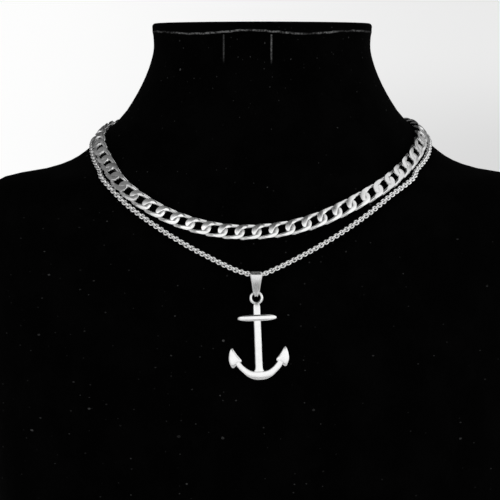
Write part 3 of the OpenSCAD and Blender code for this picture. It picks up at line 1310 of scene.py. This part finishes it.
@dataclass(frozen=True)
class PendantFrame:
    """Places of the bail and the anchor as they hang."""

    hang_point: Vector
    tilt: float = 11.2
    ring_drop: float = 10.5
    lean: float = 2.2

    def bail(self) -> Matrix:
        """Frame of the bail, with the chain's line at its origin."""
        return Matrix.Translation(self.hang_point) @ Matrix.Rotation(math.radians(-self.tilt), 4, "X")

    def anchor(self) -> Matrix:
        """Frame of the anchor, with the middle of its ring at the origin."""
        drop = Matrix.Translation((0, 0, -self.ring_drop))
        return self.bail() @ drop @ Matrix.Rotation(math.radians(-self.lean), 4, "Y")


def round_fold(radius: float, middle: float, start: float, turn: float, steps: int) -> list[Pair]:
    """Round fold of a strap's middle line, as [y, z].

    Args:
        radius: The fold's radius.
        middle: Height of the fold's centre.
        start: Angle of its first point, in radians.
        turn: Angle that it turns through.
        steps: The number of steps.

    Returns:
        The points.
    """
    angles = (start + turn * i / steps for i in range(steps + 1))
    return [(radius * math.cos(a), middle + radius * math.sin(a)) for a in angles]


@dataclass
class Bail:
    """The folded strap that carries the anchor on the fine chain.

    The marks are [height, half width], and across the strap lie points whose relief stands out by a share of
    the flutes' depth, on the strap and on the split tip.
    """

    place: PendantFrame
    strap: float = 0.6
    top_radius: float = 2.08
    top_z: float = -0.57
    tip_radius: float = 0.98
    tip_z: float = -9.0
    split_rise: float = 0.4
    bow: float = 0.95
    flute: float = 0.09
    edge_round: float = 0.09
    crisp_angle: float = 50.0
    top_steps: int = 22
    tip_steps: int = 12
    side_steps: int = 9
    marks: Table = (
        (2.3, 2.25), (1.3, 2.4), (0.2, 2.8), (-0.7, 2.72), (-2.9, 2.33), (-5.15, 1.95), (-7.4, 1.64),
        (-8.3, 1.5), (-8.9, 1.1), (-9.5, 0.88), (-10.4, 0.75),
    )
    across: tuple[float, ...] = (-1, -0.9, -0.76, -0.52, -0.26, 0, 0.26, 0.52, 0.76, 0.9, 1)
    fluted: tuple[float, ...] = (-1.9, -0.7, 1, -0.3, 0.4, -0.3, 0.4, -0.3, 1, -0.7, -1.9)
    split: tuple[float, ...] = (-1.6, -0.2, 0.9, 1, -1, -2.4, -1, 1, 0.9, -0.2, -1.6)
    finish: SteelFinish = SteelFinish("satin_steel", level=0.66, roughness=0.2, haze=0.1, grain=0.5)

    def route(self) -> list[Pair]:
        """Middle line of the strap, from the back over the top fold, down the front and round the tip.

        Returns:
            The closed line's points, as [y, z].
        """
        lean = math.asin((self.top_radius - self.tip_radius) / (self.top_z - self.tip_z))
        top = round_fold(self.top_radius, self.top_z, -lean, math.pi + 2 * lean, self.top_steps)
        tip = round_fold(self.tip_radius, self.tip_z, math.pi + lean, math.pi - 2 * lean, self.tip_steps)
        shares = [k / self.side_steps for k in range(1, self.side_steps)]

        def side(a: Pair, b: Pair, bow: Callable[[float], float]) -> list[Pair]:
            """Straight stretch between two folds, bowed outwards."""
            return [(a[0] + (b[0] - a[0]) * t + bow(t), a[1] + (b[1] - a[1]) * t) for t in shares]

        front = side(top[-1], tip[0], lambda t: -self.bow * t * (1 - t) ** 2)
        back = side(tip[-1], top[0], lambda t: self.bow * (1 - t) * t**2)
        return [*top, *front, *tip, *back]

    def half_width(self, z: float) -> float:
        """Half the strap's width.

        Args:
            z: The height.

        Returns:
            The half width.
        """
        for (z1, w1), (z2, w2) in zip(self.marks, self.marks[1:]):
            if z >= z2:
                return w1 + (w2 - w1) * (z1 - min(z, z1)) / (z1 - z2)
        return self.marks[-1][1]

    def section(self, middle: Pair, run: Vector) -> list[Vector]:
        """Section across the strap.

        Args:
            middle: Its place on the middle line.
            run: Direction of the line there.

        Returns:
            The corners, the outer side first.
        """
        y, z = middle
        out, w, half = Vector((0, run.z, -run.y)), self.half_width(z), self.strap / 2
        relief = self.fluted if z > self.tip_z + self.split_rise else self.split
        outer = [
            Vector((w * u, y, z)) + out * (half + self.flute * (share - 1))
            for u, share in zip(self.across, relief)
        ]
        inner = [Vector((w * u, y, z)) - out * half for u in reversed(self.across)]
        return [*outer, *inner]

    def build(self) -> bpy.types.Object:
        """Models the strap as a closed band with flutes along it, and softens its edges.

        Returns:
            The piece.
        """
        route = self.route()
        sections = []
        for i, middle in enumerate(route):
            a, b = route[i - 1], route[(i + 1) % len(route)]
            sections.append(self.section(middle, Vector((0, b[0] - a[0], b[1] - a[1])).normalized()))
        band = loft("bail_strap", [*sections, sections[0]])
        with edit_mode(band):
            pick_faces(band, lambda f: len(f.verts) > 4)
            bpy.ops.mesh.delete(type="FACE")
            merge_all(SAME_PLACE)
            bpy.ops.mesh.normals_make_consistent(inside=False)
        soften(band, self.edge_round, self.crisp_angle)
        smooth_by_angle(band, self.crisp_angle)
        settle(band, self.finish.material(), self.place.bail())
        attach(band, "bail")
        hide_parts("bail")
        return band


class Side(Enum):
    """Side of the anchor in the front view."""

    LEFT = -1
    RIGHT = 1


@dataclass
class Anchor:
    """The cast anchor: ring, shank, stock, arms, crown and flukes.

    The marks of the shank are [height, width, thickness, cut corner] and those of the stock [x, radius]. Each
    arm station is a place on the lower contour and one on the upper. The shifts are the casting's unevenness.
    """

    place: PendantFrame
    ring_outer: float = 3.22
    ring_hole: float = 1.78
    ring_steps: tuple[int, int] = (56, 20)
    thickness: float = 2.4
    edge_round: float = 0.14
    edge_angle: float = 28.0
    crisp_angle: float = 30.0
    shank_marks: Table = (
        (-2.4, 2.3, 1.44, 0.3), (-2.9, 2.85, 1.56, 0.34), (-3.5, 3.15, 1.66, 0.36), (-4.4, 3.28, 1.8, 0.36),
        (-8.95, 3.28, 2.3, 0.36), (-14.0, 3.32, 2.4, 0.38), (-20.0, 3.42, 2.4, 0.4), (-28.0, 3.5, 2.4, 0.4),
        (-30.8, 3.6, 2.4, 0.42), (-31.6, 3.8, 2.4, 0.45), (-32.15, 4.4, 2.38, 0.5), (-32.6, 5.5, 2.34, 0.6),
        (-33.4, 6.6, 2.3, 0.6), (-34.4, 6.8, 2.2, 0.6),
    )
    face_share: float = 0.42
    face_slope: float = 0.1
    stock_z: float = -8.95
    stock_square: float = 0.5
    stock_depth: float = 0.9
    stock_sides: int = 32
    stock_marks: Table = (
        (0.0, 1.58), (2.2, 1.58), (3.6, 1.56), (4.8, 1.5), (5.8, 1.37), (6.7, 1.22), (7.5, 1.03), (8.1, 0.82),
        (8.5, 0.6), (8.72, 0.36), (8.78, 0.14),
    )
    arm_stations: Table = (
        (0.0, -36.8, 0.0, -32.6), (1.5, -36.72, 1.5, -32.6), (2.9, -36.4, 2.75, -32.5),
        (4.2, -35.85, 3.85, -32.2), (5.4, -35.1, 4.75, -31.75), (6.5, -34.18, 5.6, -31.2),
        (7.55, -33.2, 6.4, -30.55), (8.5, -32.3, 7.1, -29.85), (9.4, -31.3, 7.75, -29.1),
        (10.2, -30.2, 8.5, -28.2), (10.9, -28.9, 9.3, -27.1), (11.4, -27.4, 10.2, -26.1),
    )
    arm_cut: float = 0.3
    crown_round: float = 1.2
    arm_round: float = 0.4
    crown_half: float = 5.5
    lower_shift: float = 0.35
    upper_shift: float = 0.1
    fluke_shift: float = 0.1
    fluke_middle: Pair = (11.0, -27.0)
    fluke_edge: Table = (
        (12.02, -21.7), (12.3, -22.05), (12.75, -22.85), (13.12, -23.95), (13.35, -25.1), (13.52, -26.4),
        (13.52, -27.5), (13.32, -28.5), (12.98, -29.5), (12.6, -30.3), (12.25, -30.85), (11.8, -31.1),
        (11.3, -31.05), (10.9, -30.7), (10.3, -30.2), (9.3, -29.6), (8.2, -29.0), (7.8, -28.5),
        (7.55, -28.0), (7.6, -27.55), (8.1, -26.8), (8.9, -25.85), (9.65, -24.9), (10.3, -23.95),
        (10.95, -22.9), (11.5, -22.05), (11.8, -21.72),
    )
    fluke_steps: Table = ((0.3, 1.28), (0.6, 1.24), (0.84, 1.14), (0.94, 0.98), (1.0, 0.6))
    finish: SteelFinish = SteelFinish("anchor_steel", level=0.75, roughness=0.17, haze=0.12)

    def ring(self) -> bpy.types.Object:
        """Models the ring at the head.

        Returns:
            The ring.
        """
        wire = self.ring_outer - self.ring_hole
        ring = wire_ring("ring", self.ring_outer - wire / 2, wire, self.ring_steps)
        ring.rotation_euler.x = math.pi / 2
        bpy.ops.object.transform_apply(location=False, rotation=True, scale=False)
        return ring

    def bar(self, z: float, w: float, t: float, c: float) -> list[Vector]:
        """Level section of the shank, with cut corners and a flat middle between two slight slopes.

        Args:
            z: Its height.
            w: Its width.
            t: Its thickness.
            c: How far its corners are cut.

        Returns:
            The corners.
        """
        w, t, flat, edge = w / 2, t / 2, self.face_share * w / 2, -t / 2 + self.face_slope
        half = ((-w, edge + c), (-w + c, edge), (-flat, -t), (flat, -t), (w - c, edge), (w, edge + c))
        corners = [*half, *((x, -y) for x, y in reversed(half))]
        return [Vector((x, y, z)) for x, y in corners]

    def stock(self) -> bpy.types.Object:
        """Models the stock, a bar with a flattened front that thins to blunt tips.

        Returns:
            The stock.
        """
        marks = sorted({(way * x, radius) for way in (-1, 1) for x, radius in self.stock_marks})

        def flattened(value: float) -> float:
            """Cosine or sine pushed outwards, which squares the circle a little."""
            return math.copysign(abs(value) ** self.stock_square, value)

        turns = [math.tau * (k + 0.5) / self.stock_sides for k in range(self.stock_sides)]
        circle = [(flattened(math.sin(t)), flattened(math.cos(t))) for t in turns]
        sections = [
            [Vector((x, self.stock_depth * radius * y, self.stock_z + radius * z)) for y, z in circle]
            for x, radius in marks
        ]
        return loft("stock", sections)

    def arm_section(self, low: Vector, high: Vector) -> list[Vector]:
        """Section across the arms, rounded at its lower edge and cut at its upper edge.

        Args:
            low: Place on the lower contour.
            high: Place on the upper contour.

        Returns:
            The section's corners.
        """
        width, t = (low - high).length, self.thickness / 2
        down = (low - high).normalized()
        middle = (low + high) / 2
        near = max(0.0, 1 - (low.x / self.crown_half) ** 2)
        w, r = width / 2, self.arm_round + (self.crown_round - self.arm_round) * near
        half = [(-w, -t + self.arm_cut), (-w + self.arm_cut, -t)]
        half += [
            (w - r + r * math.sin(math.radians(a)), -t + r - r * math.cos(math.radians(a)))
            for a in (0, 22, 45, 68, 90)
        ]
        corners = [*half, *((u, -y) for u, y in reversed(half))]
        return [middle + down * u + Vector((0, y, 0)) for u, y in corners]

    def arms(self) -> bpy.types.Object:
        """Models the arms and the crown, one bar bent to the contours of both sides.

        Returns:
            The arms.
        """
        stations = {
            (way * a + self.lower_shift, b, way * c + self.upper_shift, d)
            for way in (-1, 1)
            for a, b, c, d in self.arm_stations
        }
        places = sorted(stations, key=lambda station: station[0])
        return loft("arms", [self.arm_section(Vector((a, 0, b)), Vector((c, 0, d))) for a, b, c, d in places])

    def fluke(self, side: Side) -> bpy.types.Object:
        """Models one fluke: a leaf-shaped arrow head with a raised middle.

        Args:
            side: The side of the anchor that it lies on.

        Returns:
            The fluke.
        """
        rings = [*self.fluke_steps, *((scale, -y) for scale, y in reversed(self.fluke_steps))]
        flat = (self.fluke_middle, *self.fluke_edge)
        middle, *corners = (Vector((side.value * x + self.fluke_shift, 0, z)) for x, z in flat)
        return loft(
            "fluke",
            [[middle + (p - middle) * scale + Vector((0, y, 0)) for p in corners] for scale, y in rings],
        )

    def build(self) -> bpy.types.Object:
        """Models the parts, unites them and softens their edges as casting and polishing do.

        Returns:
            The piece.
        """
        cast, arms = loft("shank", [self.bar(*mark) for mark in self.shank_marks]), self.arms()
        for part in (cast, arms):
            soften(part, self.edge_round, self.edge_angle)
        for part in (arms, self.fluke(Side.RIGHT), self.fluke(Side.LEFT), self.stock(), self.ring()):
            apply_modifier(cast, "BOOLEAN", operation="UNION", solver="EXACT", object=part)
            bpy.data.objects.remove(part)
        cast.name = cast.data.name = "anchor_casting"
        smooth_by_angle(cast, self.crisp_angle)
        settle(cast, self.finish.material(), self.place.anchor())
        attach(cast, "anchor")
        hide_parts("anchor")
        return cast


# ---- Studio ----


@dataclass(frozen=True)
class SoftLight:
    """Soft square light that faces the necklace, in metres and watts."""

    name: str
    place: tuple[float, float, float]
    size: float
    power: float
    mirrored: bool


@dataclass
class Studio:
    """Plain pale floor, soft surroundings, lights and the camera at the photograph's angle, in metres.

    The wall that the camera sees falls off to the right and low down. The other levels are of what the steel
    mirrors: a screen in front, the two sides, the rear, and the ceiling with its left and right.
    """

    target: Vector = field(default_factory=lambda: Vector((-0.0058, -0.050, 0.157)))
    distance: float = 0.8
    look_down: float = 6.0
    lens: float = 128.0
    film_width: float = 36.0
    floor_radius: float = 2.6
    floor_drop: float = 0.0004
    backdrop: float = 0.985
    right_fall: float = 0.16
    low_fall: float = 0.13
    front: float = 1.28
    left: float = 0.33
    right: float = 0.95
    skew: float = 0.25
    rear: float = 0.22
    ceiling: float = 0.08
    high_left: float = 0.16
    high_right: float = 0.95
    underside: float = 0.84
    lights: tuple[SoftLight, ...] = (
        SoftLight("overhead", (-0.2, -0.25, 1.35), 1.0, 8.0, mirrored=False),
        SoftLight("key", (-0.47, -0.92, 0.62), 0.22, 0.15, mirrored=True),
    )

    def camera(self) -> None:
        """Adds the camera."""
        data = bpy.data.cameras.new("camera")
        data.lens = self.lens
        data.sensor_width = self.film_width
        data.clip_start = 0.01
        camera = bpy.data.objects.new("camera", data)
        down = math.radians(self.look_down)
        back = Vector((0, -math.cos(down), math.sin(down)))
        camera.location = self.target + self.distance * back
        camera.rotation_euler = (math.pi / 2 - down, 0, 0)
        bpy.context.collection.objects.link(camera)
        bpy.context.scene.camera = camera

    def floor(self) -> None:
        """Adds the floor, a little below the bust's base."""
        bpy.ops.object.select_all(action="DESELECT")
        bpy.ops.mesh.primitive_circle_add(
            vertices=96, radius=self.floor_radius, fill_type="NGON", location=(0, 0, -self.floor_drop)
        )
        floor = added("floor")
        r = Recipe.named("pale_floor")
        tone = r.blend(r.noise(r.millimetres(), 0.01, 3.0).rise(0.3, 0.7), grey(0.84), grey(0.88))
        dress(floor, r.surface({"Base Color": tone, "Roughness": 0.8, "Specular IOR Level": 0.2}))

    def mirrored(self, x: Socket, y: Socket, z: Socket) -> Socket:
        """Level of the surroundings that the polished pieces mirror.

        Args:
            x: Direction to the right.
            y: Direction to the back.
            z: Direction up.

        Returns:
            The level in each direction.
        """
        # Level round the horizon, with the dark of the bust below.
        below = z.rise(0.1, -0.01) * x.magnitude().rise(0.36, 0.14)
        ahead = (y - x * self.skew).rise(-0.97, 0.1, 1.0, 0.0)
        level = ahead * self.front + (1 - ahead) * x.rise(-0.3, 0.6, self.left, self.right)
        level = level * z.rise(-0.1, 0.5, 0.95, 1.18) * (1 - below * self.underside)
        # Level overhead, dark in the middle, bright on the right and dim on the left.
        high = (z + (x + 0.3).math("MINIMUM", 0.0) * 0.3).rise(0.34, 0.56)
        high_right = (x + z * 0.5).rise(0.5, 0.72) * y.rise(0.1, 0.35, 1.0, 0.35) * self.high_right
        above = high_right + x.rise(-0.2, -0.5) * self.high_left + self.ceiling
        level = level * (1 - high) + above * high
        return level * y.rise(0.35, 0.95, 1.0, self.rear)

    def world(self) -> None:
        """Sets the surroundings, one level for the camera and one for all else."""
        world = bpy.data.worlds.new("studio")
        r = Recipe(world)
        way = r.node("ShaderNodeTexCoord", output="Generated")
        x, y, z = (r.axis(way, a) for a in "XYZ")
        wall = self.backdrop - x.rise(-0.16, 0.16) * (self.right_fall + z.rise(0.01, -0.06) * self.low_fall)
        seen = r.node("ShaderNodeLightPath", output="Is Camera Ray")
        level = self.mirrored(x, y, z) * (1 - seen) + wall * seen
        colour = r.node("ShaderNodeCombineColor", {}, {0: level, 1: level, 2: level})
        sky = r.node("ShaderNodeBackground", {}, {"Color": colour})
        end = r.tree.nodes.new("ShaderNodeOutputWorld")
        r.tree.links.new(sky.link, end.inputs["Surface"])
        bpy.context.scene.world = world

    def light(self, soft: SoftLight) -> None:
        """Adds a light.

        Args:
            soft: The light.
        """
        data = bpy.data.lights.new(soft.name, "AREA")
        data.size = soft.size
        data.energy = soft.power
        light = bpy.data.objects.new(soft.name, data)
        light.location = soft.place
        light.visible_camera = False
        light.visible_glossy = soft.mirrored
        aim = self.target - Vector(soft.place)
        light.rotation_euler = aim.to_track_quat("-Z", "Y").to_euler()
        bpy.context.collection.objects.link(light)

    def build(self) -> None:
        """Adds the floor, the surroundings and the lights."""
        self.floor()
        self.world()
        for soft in self.lights:
            self.light(soft)
        bpy.context.scene.view_settings.view_transform = "Standard"


# ---- Putting it together ----


def fittings(steel: SteelFinish) -> None:
    """Gives the clasp and the end rings their steel.

    Args:
        steel: The finish.
    """
    material = steel.material()
    for node in ("clasp", "left_end_ring", "right_end_ring"):
        dress(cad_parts[node], material)


def main() -> None:
    """Builds the scene."""
    logging.basicConfig(level=logging.INFO, format="%(message)s")
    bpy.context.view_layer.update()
    studio = Studio()
    studio.camera()
    form = BustForm()
    fine = FineChain(form)
    pendant = PendantFrame(fine.hang_point)
    for piece in (NeckBust(form, NeckFold()), CurbChain(form), fine, Bail(pendant), Anchor(pendant)):
        made = piece.build()
        log.info("%s: %d faces", made.name, len(made.data.polygons))
    fittings(SteelFinish("fittings_steel", level=0.76, roughness=0.18))
    studio.build()


if __name__ == "__main__":
    main()
